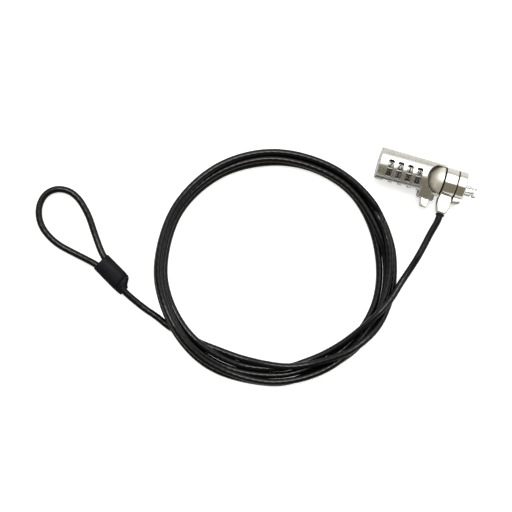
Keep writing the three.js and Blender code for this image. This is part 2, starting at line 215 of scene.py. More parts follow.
def arc(cx, cy, r, a0, a1, steps):
    out = []
    for i in range(steps + 1):
        a = math.radians(a0 + (a1 - a0) * i / steps)
        out.append((cx + r * math.cos(a), cy + r * math.sin(a)))
    return out


def rounded_rect(w, h, r, steps=5):
    out = []
    for cx, cy, a in ((w / 2 - r, h / 2 - r, 0), (r - w / 2, h / 2 - r, 90), (r - w / 2, r - h / 2, 180),
        (w / 2 - r, r - h / 2, 270)):
        out += arc(cx, cy, r, a, a + 90, steps)
    return out


def bezier(p0, p1, p2, p3, steps):
    out = []
    for i in range(1, steps + 1):
        t = i / steps
        w = ((1 - t) ** 3, 3 * t * (1 - t) ** 2, 3 * t * t * (1 - t), t ** 3)
        out.append((sum(a * b[0] for a, b in zip(w, (p0, p1, p2, p3))),
            sum(a * b[1] for a, b in zip(w, (p0, p1, p2, p3)))))
    return out


# Sections drawn in the barrel's YZ plane are prisms along Z first, then laid along X.
ALONG_X = Matrix(((0, 0, 1, 0), (1, 0, 0, 0), (0, 1, 0, 0), (0, 0, 0, 1)))

BARREL_R = 9.55
shell_low, shell_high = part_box("barrel_shell")
TO_ROW = Matrix.Translation((shell_low[0], shell_high[1] - BARREL_R * MM,
    shell_high[2] - BARREL_R * MM)) @ Matrix.Scale(MM, 4)


def place(obj, body, slot, material, *nodes):
    """Moves a finished lock piece from the barrel's frame to the row's, and hangs it on its body."""
    obj.data.transform(TO_ROW)
    obj.data.materials.clear()
    obj.data.materials.append(material)
    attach(obj, body)
    if nodes:
        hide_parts(*nodes)
    return obj


# ---------------------------------------------------------------- materials
def graph(name):
    mat = bpy.data.materials.new(name)
    mat.use_nodes = True
    tree = mat.node_tree
    return mat, tree, tree.nodes["Principled BSDF"]


def stretched_noise(tree, scale, stretch, detail=4.0):
    coords = tree.nodes.new("ShaderNodeTexCoord")
    mapping = tree.nodes.new("ShaderNodeMapping")
    mapping.inputs["Scale"].default_value = stretch
    tree.links.new(coords.outputs["Object"], mapping.inputs["Vector"])
    tex = tree.nodes.new("ShaderNodeTexNoise")
    tex.inputs["Scale"].default_value = scale
    tex.inputs["Detail"].default_value = detail
    tree.links.new(mapping.outputs["Vector"], tex.inputs["Vector"])
    return tex.outputs["Fac"]


def ramp(tree, fac, low, high, start=0.3, end=0.7):
    node = tree.nodes.new("ShaderNodeMapRange")
    node.inputs["From Min"].default_value = start
    node.inputs["From Max"].default_value = end
    node.inputs["To Min"].default_value = low
    node.inputs["To Max"].default_value = high
    tree.links.new(fac, node.inputs["Value"])
    return node.outputs["Result"]


def mix_colour(tree, fac, a, b):
    node = tree.nodes.new("ShaderNodeMix")
    node.data_type = "RGBA"
    node.inputs[6].default_value = (*a, 1)
    node.inputs[7].default_value = (*b, 1)
    tree.links.new(fac, node.inputs[0])
    return node.outputs[2]


def add_bump(tree, shader, *layers):
    """Bump layers of (height, strength, distance in metres), one on top of the other."""
    last = None
    for height, strength, distance in layers:
        node = tree.nodes.new("ShaderNodeBump")
        node.inputs["Strength"].default_value = strength
        node.inputs["Distance"].default_value = distance
        tree.links.new(height, node.inputs["Height"])
        if last:
            tree.links.new(last, node.inputs["Normal"])
        last = node.outputs["Normal"]
    tree.links.new(last, shader.inputs["Normal"])


def metal(name, dark, light, rough, spread, grain=(1, 1, 1), grain_scale=900, depth=2e-6, cast=0.0,
    metallic=1.0):
    mat, tree, shader = graph(name)
    shader.inputs["Metallic"].default_value = metallic
    cloud = stretched_noise(tree, 260, (1, 1, 1), 5)
    lines = stretched_noise(tree, grain_scale, grain, 6)
    tree.links.new(mix_colour(tree, ramp(tree, cloud, 0, 1), dark, light), shader.inputs["Base Color"])
    tree.links.new(ramp(tree, lines, rough - spread, rough + spread, 0.25, 0.75),
        shader.inputs["Roughness"])
    layers = [(lines, 0.5, depth)]
    if cast:
        layers.append((stretched_noise(tree, 1400, (1, 1, 1), 3), 0.5, cast))
    add_bump(tree, shader, *layers)
    return mat


satin_nickel = metal("satin_nickel", (0.64, 0.63, 0.60), (0.72, 0.71, 0.68), 0.27, 0.05, (9, 1, 1), 700,
    5e-6, 7e-6)
head_nickel = metal("head_nickel", (0.64, 0.62, 0.55), (0.70, 0.68, 0.61), 0.40, 0.05, (6, 1, 1), 500, 2e-6,
    3e-6, 0.62)
polished_nickel = metal("polished_nickel", (0.76, 0.745, 0.70), (0.81, 0.795, 0.75), 0.12, 0.03, (8, 1, 1),
    500, 1e-6)
plain_steel = metal("plain_steel", (0.30, 0.30, 0.29), (0.38, 0.38, 0.37), 0.28, 0.06, (1, 7, 7), 800, 3e-6)
machined_brass = metal("machined_brass", (0.55, 0.44, 0.23), (0.64, 0.53, 0.31), 0.3, 0.05, (8, 1, 1), 900,
    3e-6)
dial_metal = metal("dial_metal", (0.25, 0.25, 0.23), (0.30, 0.30, 0.28), 0.22, 0.06, (10, 1, 1), 900, 4e-6,
    0.0, 0.5)
dull_aluminium = metal("dull_aluminium", (0.60, 0.60, 0.61), (0.70, 0.70, 0.71), 0.42, 0.07, (1, 1, 1),
    1200, 5e-6)


def plastic(name, dark, light, rough, spread, scale=900, depth=4e-6, shine=0.3):
    mat, tree, shader = graph(name)
    cloud = stretched_noise(tree, 180, (1, 1, 1), 4)
    fine = stretched_noise(tree, scale, (1, 1, 1), 4)
    tree.links.new(mix_colour(tree, ramp(tree, cloud, 0, 1), dark, light), shader.inputs["Base Color"])
    tree.links.new(ramp(tree, fine, rough - spread, rough + spread), shader.inputs["Roughness"])
    shader.inputs["Specular IOR Level"].default_value = shine
    add_bump(tree, shader, (fine, 0.4, depth))
    return mat


black_nylon = plastic("black_nylon", (0.006, 0.006, 0.0055), (0.011, 0.010, 0.009), 0.5, 0.08, 1500, 8e-6,
    0.15)
sleeve_vinyl = plastic("sleeve_vinyl", (0.0045, 0.0042, 0.0055), (0.0075, 0.007, 0.0085), 0.38, 0.07, 900,
    1e-5, 0.06)
# near black: the printed numbers, and also the painted shade strips on the dials
digit_print_and_shade = plastic("digit_print_and_shade", (0.004, 0.004, 0.004), (0.008, 0.008, 0.007), 0.5, 0.08, 1500, 3e-6,
    0.1)


def cable_vinyl():
    """Glossy vinyl drawn over stranded rope: faint slanting ribs follow the cable's own length."""
    mat, tree, shader = graph("black_vinyl")
    coords = tree.nodes.new("ShaderNodeUVMap")
    split = tree.nodes.new("ShaderNodeSeparateXYZ")
    tree.links.new(coords.outputs["UV"], split.inputs["Vector"])
    turns = tree.nodes.new("ShaderNodeMath")
    turns.operation = "MULTIPLY_ADD"
    tree.links.new(split.outputs["X"], turns.inputs[0])
    turns.inputs[1].default_value = 42.0 * 6.0
    around = tree.nodes.new("ShaderNodeMath")
    around.operation = "MULTIPLY"
    around.inputs[1].default_value = 6.0
    tree.links.new(split.outputs["Y"], around.inputs[0])
    tree.links.new(around.outputs[0], turns.inputs[2])
    phase = tree.nodes.new("ShaderNodeMath")
    phase.operation = "MULTIPLY"
    phase.inputs[1].default_value = 2 * math.pi
    tree.links.new(turns.outputs[0], phase.inputs[0])
    wave = tree.nodes.new("ShaderNodeMath")
    wave.operation = "SINE"
    tree.links.new(phase.outputs[0], wave.inputs[0])
    fine = stretched_noise(tree, 700, (1, 1, 1), 4)
    cloud = stretched_noise(tree, 60, (1, 1, 1), 4)
    tree.links.new(mix_colour(tree, ramp(tree, cloud, 0, 1), (0.0018, 0.0018, 0.0021),
        (0.0034, 0.0034, 0.0038)), shader.inputs["Base Color"])
    shader.inputs["Specular IOR Level"].default_value = 0.21
    tree.links.new(ramp(tree, fine, 0.11, 0.19), shader.inputs["Roughness"])
    add_bump(tree, shader, (wave.outputs[0], 0.35, 4e-5), (fine, 0.25, 6e-6))
    return mat


black_vinyl = cable_vinyl()

# ---------------------------------------------------------------- the cable
CABLE_R = 2.0 * MM

# The route in millimetres, in the order that the cable is wound: out of the lug, over the coil's
# edge, round its turns, back over them, under the bundle, through the crimp, round the eye and
# back into the crimp. The first and last stretches repeat the CAD solids' points, with a few more at
# their ends and with the lead up to 2.3 mm higher. Part of these points was measured, not chosen by hand.
LEAD = [
    (13.2, -13.7, 9.5), (13.2, -15.5, 9.45), (13.1, -17.5, 9.3), (12.5, -20.5, 9.0), (11.1, -26.1, 8.5),
    (9.5, -34.4, 8.1),
    (7.6, -42.9, 8.0), (5.3, -51.0, 8.3), (2.5, -59.8, 8.9),
]
TAIL = [
    (-131.6, -119.4, 2.05), (-138.9, -117.0, 2.05), (-144.4, -114.8, 2.2), (-150.2, -112.2, 2.8),
    (-153.3, -110.6, 3.3), (-157.6, -108.4, 3.8), (-160.3, -106.9, 3.9), (-162.4, -105.7, 3.9),
    (-165.9, -103.75, 3.9),
]
EYE = [
    (-169.4, -101.8, 3.9), (-171.6, -100.6, 3.9), (-174.5, -99.6, 3.8), (-182.6, -97.9, 2.9),
    (-191.8, -96.2, 2.2),
    (-197.5, -95.0, 2.05), (-201.6, -93.7, 2.05), (-207.8, -90.5, 2.05), (-212.8, -86.3, 2.05),
    (-216.4, -80.0, 2.05),
    (-217.3, -73.6, 2.05), (-215.2, -66.9, 2.05), (-209.6, -62.6, 2.05), (-202.3, -62.0, 2.05),
    (-196.0, -64.7, 2.05), (-191.3, -68.7, 2.05), (-187.0, -73.3, 2.05), (-182.8, -79.3, 2.05),
    (-178.4, -85.5, 2.4), (-174.6, -90.4, 3.2), (-171.3, -93.9, 3.8), (-169.0, -95.9, 3.9),
    (-166.8, -97.1, 3.9),
    (-163.3, -99.1, 3.9), (-160.0, -100.9, 3.9),
]
# Points round the coil as (angle, radius, height) about its middle. About 20 of the radii come from
# measured edges of the bundle, and the others were read off. The angle falls as the cable runs on,
# and the heights are first guesses that settle() corrects.
TURNS = [
    # first turn: dives to the inside of the bundle, then lies innermost on the floor
    (345, 72.2, 9.6), (337, 68.3, 9.6), (325, 63.9, 8.6), (312, 61.6, 6.6), (300, 60.6, 4.4),
    (288, 60.5, 2.2), (276, 61.7, 2.0),
    (262, 62.2, 2.0), (246, 63.0, 2.1), (222, 64.9, 6.0), (200, 65.7, 2.4), (180, 65.7, 2.0),
    (150, 65.0, 2.0),
    (120, 63.2, 2.0), (90, 62.1, 2.0), (65, 62.8, 2.0), (40, 63.7, 2.0), (10, 63.5, 2.0), (-20, 64.8, 2.0),
    (-50, 64.9, 2.0), (-75, 64.4, 2.0),
    # second turn: beside the first, then up onto it
    (-90, 64.7, 2.0), (-115, 66.7, 3.4), (-138, 67.3, 8.0), (-160, 67.5, 5.6), (-180, 67.0, 5.7),
    (-210, 66.2, 5.7), (-240, 64.8, 5.7),
    (-270, 64.2, 5.6), (-310, 64.6, 5.7), (-345, 66.0, 5.0), (-375, 68.0, 3.0), (-405, 69.2, 2.0),
    (-435, 68.1, 2.0),
    # third turn: outermost on the floor
    (-450, 69.4, 2.0), (-480, 70.6, 2.0), (-498, 70.8, 5.8), (-520, 70.3, 2.6), (-540, 70.0, 2.0),
    (-570, 68.9, 2.0), (-600, 68.1, 2.0),
    (-630, 67.9, 2.0), (-670, 67.6, 2.0), (-700, 68.1, 4.6), (-725, 68.3, 5.9), (-750, 68.0, 6.0),
    (-780, 68.7, 6.0),
    # fourth turn: on top of the third, rolling off to the outside at the right
    (-810, 69.0, 6.0), (-840, 69.1, 6.5), (-858, 69.2, 9.6), (-880, 68.8, 8.6), (-900, 69.0, 8.6),
    (-930, 68.5, 8.6), (-960, 68.0, 8.6),
    (-990, 67.5, 8.2), (-1020, 68.0, 7.4), (-1045, 69.2, 4.6), (-1070, 70.8, 2.4), (-1090, 71.3, 2.0),
    (-1100, 71.1, 3.4),
    # back over the bundle to its inside, then under it and out
    (-1110, 70.3, 6.8), (-1120, 68.6, 9.6), (-1130, 66.6, 9.8), (-1140, 64.0, 9.2), (-1150, 62.2, 7.6),
    (-1161, 60.8, 6.4),
    (-1172, 59.4, 4.2), (-1190, 59.2, 2.0), (-1205, 61.2, 2.0), (-1216, 65.0, 2.0), (-1223.4, 68.1, 2.0),
    (-1229.6, 72.4, 2.0),
]
COIL_X, COIL_Y = -72.4, -70.8
COIL_ZERO = 16.2


def turn_point(angle, radius, height):
    a = math.radians(angle + COIL_ZERO)
    return (COIL_X + radius * math.cos(a), COIL_Y + radius * math.sin(a), height)


def spline(points, step):
    """A smooth line through the points, as evenly spaced points about a step apart."""
    p = np.array(points, float)
    p = np.vstack([2 * p[0] - p[1], p, 2 * p[-1] - p[-2]])
    out = []
    for i in range(1, len(p) - 2):
        p0, p1, p2, p3 = p[i - 1], p[i], p[i + 1], p[i + 2]
        t0 = 0.0
        t1 = t0 + np.linalg.norm(p1 - p0) ** 0.5
        t2 = t1 + np.linalg.norm(p2 - p1) ** 0.5
        t3 = t2 + np.linalg.norm(p3 - p2) ** 0.5
        t = np.linspace(t1, t2, 24, endpoint=False)[:, None]
        a1 = (t1 - t) / (t1 - t0) * p0 + (t - t0) / (t1 - t0) * p1
        a2 = (t2 - t) / (t2 - t1) * p1 + (t - t1) / (t2 - t1) * p2
        a3 = (t3 - t) / (t3 - t2) * p2 + (t - t2) / (t3 - t2) * p3
        b1 = (t2 - t) / (t2 - t0) * a1 + (t - t0) / (t2 - t0) * a2
        b2 = (t3 - t) / (t3 - t1) * a2 + (t - t1) / (t3 - t1) * a3
        out.append((t2 - t) / (t2 - t1) * b1 + (t - t1) / (t2 - t1) * b2)
    dense = np.vstack(out + [p[-2][None]])
    return evenly(dense, step)


def evenly(line, step):
    seg = np.linalg.norm(np.diff(line, axis=0), axis=1)
    s = np.concatenate([[0], np.cumsum(seg)])
    count = max(2, int(round(s[-1] / step)) + 1)
    want = np.linspace(0, s[-1], count)
    return np.stack([np.interp(want, s, line[:, k]) for k in range(3)], axis=1)


def settle(line, fixed_start, fixed_end, rounds=320):
    """Lifts strands off those below, nudges side-by-side ones apart and lets all down to the floor."""
    d = 2 * 2.0 * 1.01
    n = len(line)
    move = np.zeros_like(line)
    i, j = np.triu_indices(n, 4)
    near = np.linalg.norm((line[i] - line[j])[:, :2], axis=1) < 9
    i, j = i[near], j[near]
    above = np.where(line[j, 2] >= line[i, 2], 1.0, -1.0)
    ease = np.ones(n)
    ease[:fixed_start] = 0
    ease[n - fixed_end:] = 0
    for _ in range(12):
        ease[1:-1] = np.minimum(ease[1:-1], (ease[:-2] + ease[1:-1] + ease[2:]) / 3 + 0.02)
    for k in range(rounds):
        p = line + move
        gap = p[j] - p[i]
        flat = np.hypot(gap[:, 0], gap[:, 1])
        dist = np.linalg.norm(gap, axis=1)
        hit = dist < d
        beside = np.clip((flat / d - 0.62) / 0.3, 0, 1) * (np.abs(gap[:, 2]) < 1.6)
        need = np.sqrt(np.maximum(d * d - flat * flat, 0))
        lift = np.where(hit, np.maximum(need - above * gap[:, 2], 0) * 0.25 * (1 - beside), 0) * above
        nudge = np.where(hit, (d - dist) * 0.2 * beside, 0) / np.maximum(flat, 1e-6)
        push = np.stack([gap[:, 0] * nudge, gap[:, 1] * nudge, lift], axis=1)
        change = np.zeros_like(line)
        np.add.at(change, j[hit], push[hit])
        np.add.at(change, i[hit], -push[hit])
        np.clip(change, -0.5, 0.5, out=change)
        if k < rounds * 0.8:
            change[:, 2] -= 0.03
        move += change * ease[:, None]
        for _ in range(2 if k < rounds - 20 else 1):
            move[1:-1] += 0.30 * ((move[:-2] + move[2:]) / 2 - move[1:-1]) * ease[1:-1, None]
        low = line[:, 2] + move[:, 2] < 2.0
        move[low, 2] = 2.0 - line[low, 2]
    return line + move


turns = [turn_point(*t) for t in TURNS]
route = LEAD + turns + TAIL + EYE
line = spline(route, 2.2)
head_count = int(np.argmin(np.linalg.norm(line - np.array(LEAD[-3]), axis=1)))
tail_count = len(line) - int(np.argmin(np.linalg.norm(line - np.array(TAIL[1]), axis=1)))
line = settle(line, head_count, tail_count)
line = evenly(line, 1.5)
for _ in range(3):
    line[1:-1] += 0.25 * ((line[:-2] + line[2:]) / 2 - line[1:-1])
line[:, 2] = np.maximum(line[:, 2], 2.0)
CABLE_LENGTH = float(np.linalg.norm(np.diff(line, axis=0), axis=1).sum()) * MM
print("cable length", round(CABLE_LENGTH, 4), "points", len(line))


def sweep(name, centre, radius, sides):
    """A round tube along the points, with its length in metres and its girth as the UV map."""
    tangents = np.gradient(centre, axis=0)
    tangents /= np.linalg.norm(tangents, axis=1)[:, None]
    up = np.array([0.0, 0.0, 1.0])
    side = np.cross(up, tangents)
    side /= np.linalg.norm(side, axis=1)[:, None]
    top = np.cross(tangents, side)
    length = np.concatenate([[0], np.cumsum(np.linalg.norm(np.diff(centre, axis=0), axis=1))])
    bm = bmesh.new()
    uv = bm.loops.layers.uv.new("UVMap")
    rings = []
    for c, s, t in zip(centre, side, top):
        ring = []
        for k in range(sides):
            a = 2 * math.pi * k / sides
            ring.append(bm.verts.new(c + radius * (math.cos(a) * s + math.sin(a) * t)))
        rings.append(ring)
    for i in range(len(rings) - 1):
        for k in range(sides):
            n = (k + 1) % sides
            face = bm.faces.new((rings[i][k], rings[i][n], rings[i + 1][n], rings[i + 1][k]))
            for loop, (row, col) in zip(face.loops, ((i, k), (i, k + 1), (i + 1, k + 1), (i + 1, k))):
                loop[uv].uv = (length[row], col / sides)
    for ring, step in ((rings[0], 1), (rings[-1], -1)):
        face = bm.faces.new(ring[::-step] if step > 0 else ring)
        for loop in face.loops:
            loop[uv].uv = (0, 0)
    bmesh.ops.recalc_face_normals(bm, faces=bm.faces)
    mesh = bpy.data.meshes.new(name)
    bm.to_mesh(mesh)
    bm.free()
    return smooth(new_object(name, mesh), 60)


cable_line = line * MM
cable = sweep("security_cable", cable_line, CABLE_R, 16)
cable.data.materials.append(black_vinyl)
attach(cable, "root")
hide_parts("cable_lead", "cable_coil", "cable_tail", "cable_eye")


# ---------------------------------------------------------------- crimp sleeve
def crimp_sleeve():
    """Vinyl sleeve over the crimp: full at the eye, folded down round one strand at the tail."""
    low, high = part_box("crimp_sleeve")
    centre = (Vector(low) + Vector(high)) / 2
    # along, middle, half width, half height, depth of the folds
    stations = [
        (-9.2, 0.0, 5.55, 3.30, 0.0), (-9.0, 0.0, 5.85, 3.60, 0.0), (-8.4, 0.0, 5.95, 3.72, 0.0),
        (-5.0, 0.0, 5.95, 3.72, 0.0),
        (0.0, 0.0, 6.0, 3.74, 0.0), (4.5, 0.0, 6.0, 3.74, 0.0), (6.9, 0.0, 6.0, 3.72, 0.0),
        (7.5, 0.0, 5.98, 3.55, 0.02),
        (7.95, 0.0, 5.9, 2.95, 0.05), (8.25, 0.0, 5.85, 2.62, 0.08), (8.65, 0.05, 5.95, 2.78, 0.08),
        (9.4, 0.1, 6.0, 2.95, 0.12),
        (10.1, -0.45, 5.42, 2.9, 0.2), (11.0, -1.3, 4.55, 2.85, 0.3), (12.0, -2.1, 3.75, 2.85, 0.4),
        (13.0, -2.4, 3.35, 2.9, 0.5),
        (13.5, -2.4, 3.35, 2.95, 0.55),
    ]

    def station_ring(s, mid, hw, hh, fold, wall):
        lean = 0.14 if 7 < s < 10 else 0.0
        ring = []
        for k in range(count):
            a = 2 * math.pi * k / count
            ca, sa = math.cos(a), math.sin(a)
            r = (abs(ca) ** 2.5 + abs(sa) ** 2.5) ** (-1 / 2.5)
            broad = 0.3 * (0.5 + 0.5 * math.sin(5 * a + 0.9 + 0.22 * s))
            narrow = 0.14 * (0.5 + 0.5 * math.sin(9 * a + 2.1))
            wrinkle = 1 - fold * broad - fold * narrow
            across = mid + (hw - wall) * r * ca * wrinkle
            ring.append((s - lean * across, across, (hh - wall) * r * sa * (0.35 + 0.65 * wrinkle)))
        return ring

    count = 72
    rows = [station_ring(*st, 0.0) for st in stations] + [station_ring(*st, 0.45) for st in stations[::-1]]
    verts = [p for ring in rows for p in ring]
    faces = []
    for i in range(len(rows)):
        n = (i + 1) % len(rows)
        for k in range(count):
            m = (k + 1) % count
            faces.append((i * count + k, i * count + m, n * count + m, n * count + k))
    obj = tidy(mesh_object("vinyl_sleeve", verts, faces), 1e-5)
    turn = Matrix.Rotation(math.radians(-29.3), 4, "Z")
    obj.data.transform(Matrix.Translation(centre) @ turn @ Matrix.Scale(MM, 4))
    mod = obj.modifiers.new("round", "SUBSURF")
    mod.levels = mod.render_levels = 1
    apply_modifiers(obj)
    obj.data.materials.append(sleeve_vinyl)
    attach(obj, "root")
    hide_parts("crimp_sleeve")
    return smooth(obj, 60)


sleeve = crimp_sleeve()

# ---------------------------------------------------------------- barrel
def barrel_finish():
    """Satin nickel outside; the bore and the windows' walls get painted shade, a near-black colour standing
    in for the shadow inside the barrel, and the scoop is bare cast metal.
    """
    mat = satin_nickel.copy()
    mat.name = "barrel_satin"
    tree = mat.node_tree
    shader = tree.nodes["Principled BSDF"]
    coords = tree.nodes.new("ShaderNodeTexCoord")
    local = tree.nodes.new("ShaderNodeMapping")
    local.vector_type = "TEXTURE"
    local.inputs["Location"].default_value = TO_ROW.translation
    tree.links.new(coords.outputs["Object"], local.inputs["Vector"])
    split = tree.nodes.new("ShaderNodeSeparateXYZ")
    tree.links.new(local.outputs["Vector"], split.inputs["Vector"])
    radius = tree.nodes.new("ShaderNodeCombineXYZ")
    tree.links.new(split.outputs["Y"], radius.inputs["X"])
    tree.links.new(split.outputs["Z"], radius.inputs["Y"])
    length = tree.nodes.new("ShaderNodeVectorMath")
    length.operation = "LENGTH"
    tree.links.new(radius.outputs["Vector"], length.inputs[0])
    inside = ramp(tree, length.outputs["Value"], 1.0, 0.0, 0.00922, 0.00940)
    along = ramp(tree, split.outputs["X"], 1.0, 0.0, 0.0282, 0.0284)
    # painted shade: inside the barrel's skin and short of the bore's end, the colour is mixed to near black
    # for the shadow in the bore and the windows
    bore_shade_mask = tree.nodes.new("ShaderNodeMath")
    bore_shade_mask.operation = "MULTIPLY"
    tree.links.new(inside, bore_shade_mask.inputs[0])
    tree.links.new(along, bore_shade_mask.inputs[1])
    old = shader.inputs["Base Color"].links[0].from_socket
    mix = tree.nodes.new("ShaderNodeMix")
    mix.data_type = "RGBA"
    mix.inputs[7].default_value = (0.02, 0.019, 0.017, 1)
    tree.links.new(bore_shade_mask.outputs[0], mix.inputs[0])
    tree.links.new(old, mix.inputs[6])
    # the scoop round the dome and the lug's reliefs are left as cast
    ahead = tree.nodes.new("ShaderNodeMath")
    ahead.operation = "SUBTRACT"
    ahead.inputs[0].default_value = 1.0
    tree.links.new(along, ahead.inputs[1])
    both = tree.nodes.new("ShaderNodeMath")
    both.operation = "MULTIPLY"
    tree.links.new(inside, both.inputs[0])
    tree.links.new(ahead.outputs[0], both.inputs[1])
    scoop = both.outputs[0]
    cast = tree.nodes.new("ShaderNodeMix")
    cast.data_type = "RGBA"
    cast.inputs[7].default_value = (0.50, 0.48, 0.42, 1)
    tree.links.new(scoop, cast.inputs[0])
    tree.links.new(mix.outputs[2], cast.inputs[6])
    tree.links.new(cast.outputs[2], shader.inputs["Base Color"])
    old_rough = shader.inputs["Roughness"].links[0].from_socket
    rough = tree.nodes.new("ShaderNodeMath")
    rough.operation = "MULTIPLY_ADD"
    rough.inputs[1].default_value = 0.35
    tree.links.new(scoop, rough.inputs[0])
    tree.links.new(old_rough, rough.inputs[2])
    tree.links.new(rough.outputs[0], shader.inputs["Roughness"])
    bare = tree.nodes.new("ShaderNodeMath")
    bare.operation = "SUBTRACT"
    bare.inputs[0].default_value = 1.0
    tree.links.new(scoop, bare.inputs[1])
    tree.links.new(bare.outputs[0], shader.inputs["Metallic"])
    return mat


DIAL_X, DIAL_PITCH, DIAL_W = 6.76, 5.78, 5.1
DIAL_FACE_R, RIDGE_R, DIAL_BORE_R = 7.85, 8.15, 5.4
WINDOW_AT = 14.5
NUMBER_GAP_AT = 19.5
PIVOT_X, SCOOP_R = 37.9, 8.8
BORE_R, BORE_END, BARREL_END = 8.75, 28.3, 39.1
SKIN_R = 9.05
SCOOP_HALF, SCOOP_FLOOR, SCOOP_LEDGE = 8.2, -8.2, 1.2
WINDOW_W, WINDOW_HALF = 3.4, 31
FINGER_W, FINGER_AT, FINGER_HALF = 3.6, 106, 34
NUMBER_TALL, NUMBER_WIDE = 3.15, 2.7
# painted shade strips: near-black bands on each dial's ridges, standing in for the shadow under each
# window's upper end
SHADE_STRIP_HALF, SHADE_STRIP_FROM, SHADE_STRIP_STEP = 1.95, -1.0, 0.8
BOSS_X0, BOSS_X1, BOSS_END = 27.0, 37.2, -13.2


def radial_cutter(x, width, angle, half_angle):
    """A rounded window's cutter; angle is from the top towards -Y."""
    span = 2 * BARREL_R * math.sin(math.radians(half_angle))
    tool = prism("tool", rounded_rect(width, span, 0.75), 6.0, BARREL_R + 2)
    turn_about(tool, Matrix.Rotation(math.radians(angle), 4, "X"))
    return turn_about(tool, Matrix.Translation((x, 0, 0)))


def scoop_floor_tool():
    """The scoop's lower part, narrower than its mouth and kept inside the barrel's skin."""
    outline = [(PIVOT_X + x, max(-SCOOP_HALF, min(SCOOP_HALF, y))) for x,
        y in arc(0, 0, SCOOP_R, 0, 360, 96)[:-1]]
    tool = prism("tool", outline, SCOOP_FLOOR, SCOOP_LEDGE + 0.1)
    boolean(tool, rod("tool", 25, 50, SKIN_R, 96), "INTERSECT")
    return tool


def barrel():
    body = turned("barrel", [(0, 0), (0, 9.0), (0.06, 9.25), (0.2, 9.43), (0.4, 9.52), (0.7, 9.55),
        (BARREL_END, 9.55), (BARREL_END, 0)], 144)
    flank = math.radians(29)
    top_y, top_z = -BARREL_R * math.sin(flank), BARREL_R * math.cos(flank)
    section = [(top_y + 1.5, top_z - 1.0), (top_y - 0.03, top_z), (BOSS_END, 3.45), (BOSS_END, -3.45),
        (top_y - 0.03, -top_z), (top_y + 1.5, 1.0 - top_z)]
    boss = turn_about(prism("boss", section, BOSS_X0, BOSS_X1), ALONG_X)
    bevel(boss, 1.15, 5, 20)
    tidy(boss, 0.01)
    join(body, boss)
    tools = [
        rod("tool", -1, BORE_END, BORE_R, 96),
        rod("tool", BORE_END - 1, BARREL_END + 1, 1.8, 32),
        rod_z("tool", PIVOT_X, 0, SCOOP_LEDGE, BARREL_R + 1, SCOOP_R, 128),
        scoop_floor_tool(),
        box("tool", 29.4, 35.1, BOSS_END - 1, -8.4, -2.6, 2.6),
        box("tool", 28.0, 29.5, -12.2, -5.0, -3.2, 3.2),
        turn_about(prism("tool", [(-7.5, 1.1), (-7.5, BARREL_R + 1), (BOSS_END - 1, BARREL_R + 1),
        (BOSS_END - 1, -1.3)], 34.65, BARREL_END + 1), ALONG_X),
        box("tool", 34.7, BARREL_END + 1, 7.5, BARREL_R + 1, 1.5, BARREL_R + 1),
    ]
    for i in range(4):
        tools.append(radial_cutter(DIAL_X + i * DIAL_PITCH, WINDOW_W, WINDOW_AT, WINDOW_HALF))
        tools.append(radial_cutter(DIAL_X + i * DIAL_PITCH, FINGER_W, FINGER_AT, FINGER_HALF))
    cut(body, *tools)
    tidy(body, 0.004)
    bevel(body, 0.2, 3, 40)
    return smooth(tidy(body, 0.002), 40)


place(barrel(), "barrel", "satin_nickel", barrel_finish(), "barrel_shell")


def end_plate():
    return smooth(turned("end_plate", [
        (2.3, 0), (2.3, 8.6), (0.45, 8.63), (0.2, 8.55), (0.1, 8.35), (0.1, 7.3), (0.28, 7.1), (0.28, 3.4),
        (0.12, 3.2), (0.1, 1.95), (0.2, 1.72),
        (1.4, 1.7), (1.4, 0),
    ], 96), 35)


place(end_plate(), "barrel", "satin_nickel", satin_nickel, "end_cap")


def reset_screw():
    screw = turned("code_screw", [(2.3, 0), (2.3, 1.5), (0.55, 1.5), (0.36, 1.42), (0.3, 1.25), (0.3, 0)],
        48)
    cut(screw, box("tool", -1, 0.85, -0.3, 0.3, -2, 2))
    return smooth(bevel(screw, 0.06, 2, 40), 40)


place(reset_screw(), "barrel", "steel", plain_steel, "reset_screw")


def dial_radius(angle):
    """The dial's outer radius at an angle in degrees: a face with ten finger ridges."""
    phase = (angle - NUMBER_GAP_AT + 18) % 36 - 18
    rise = max(0.0, min(1.0, (3.9 - abs(phase)) / 2.2))
    return DIAL_FACE_R + (RIDGE_R - DIAL_FACE_R) * (rise * rise * (3 - 2 * rise))


def dial(i):
    """A code dial: a grey ring with ten finger ridges; numbers() makes the numbers between them."""
    x = DIAL_X + i * DIAL_PITCH
    half = DIAL_W / 2
    across = [(-half, -0.5), (-half + 0.12, -0.2), (-half + 0.35, -0.03), (-half + 0.7, 0), (0, 0),
        (half - 0.7, 0), (half - 0.35, -0.03), (half - 0.12, -0.2), (half, -0.5)]
    steps = 200
    verts, faces = [], []
    for k in range(steps):
        a = 360.0 * k / steps
        r = dial_radius(a)
        a = math.radians(a)
        for dx, dr in across:
            verts.append((x + dx, -(r + dr) * math.sin(a), (r + dr) * math.cos(a)))
        for dx in (half, -half):
            verts.append((x + dx, -DIAL_BORE_R * math.sin(a), DIAL_BORE_R * math.cos(a)))
    n = len(across) + 2
    for k in range(steps):
        m = (k + 1) % steps
        for c in range(n):
            d = (c + 1) % n
            faces.append((k * n + c, k * n + d, m * n + d, m * n + c))
    return smooth(tidy(mesh_object(f"code_dial_{i + 1}", verts, faces), 1e-5), 35)


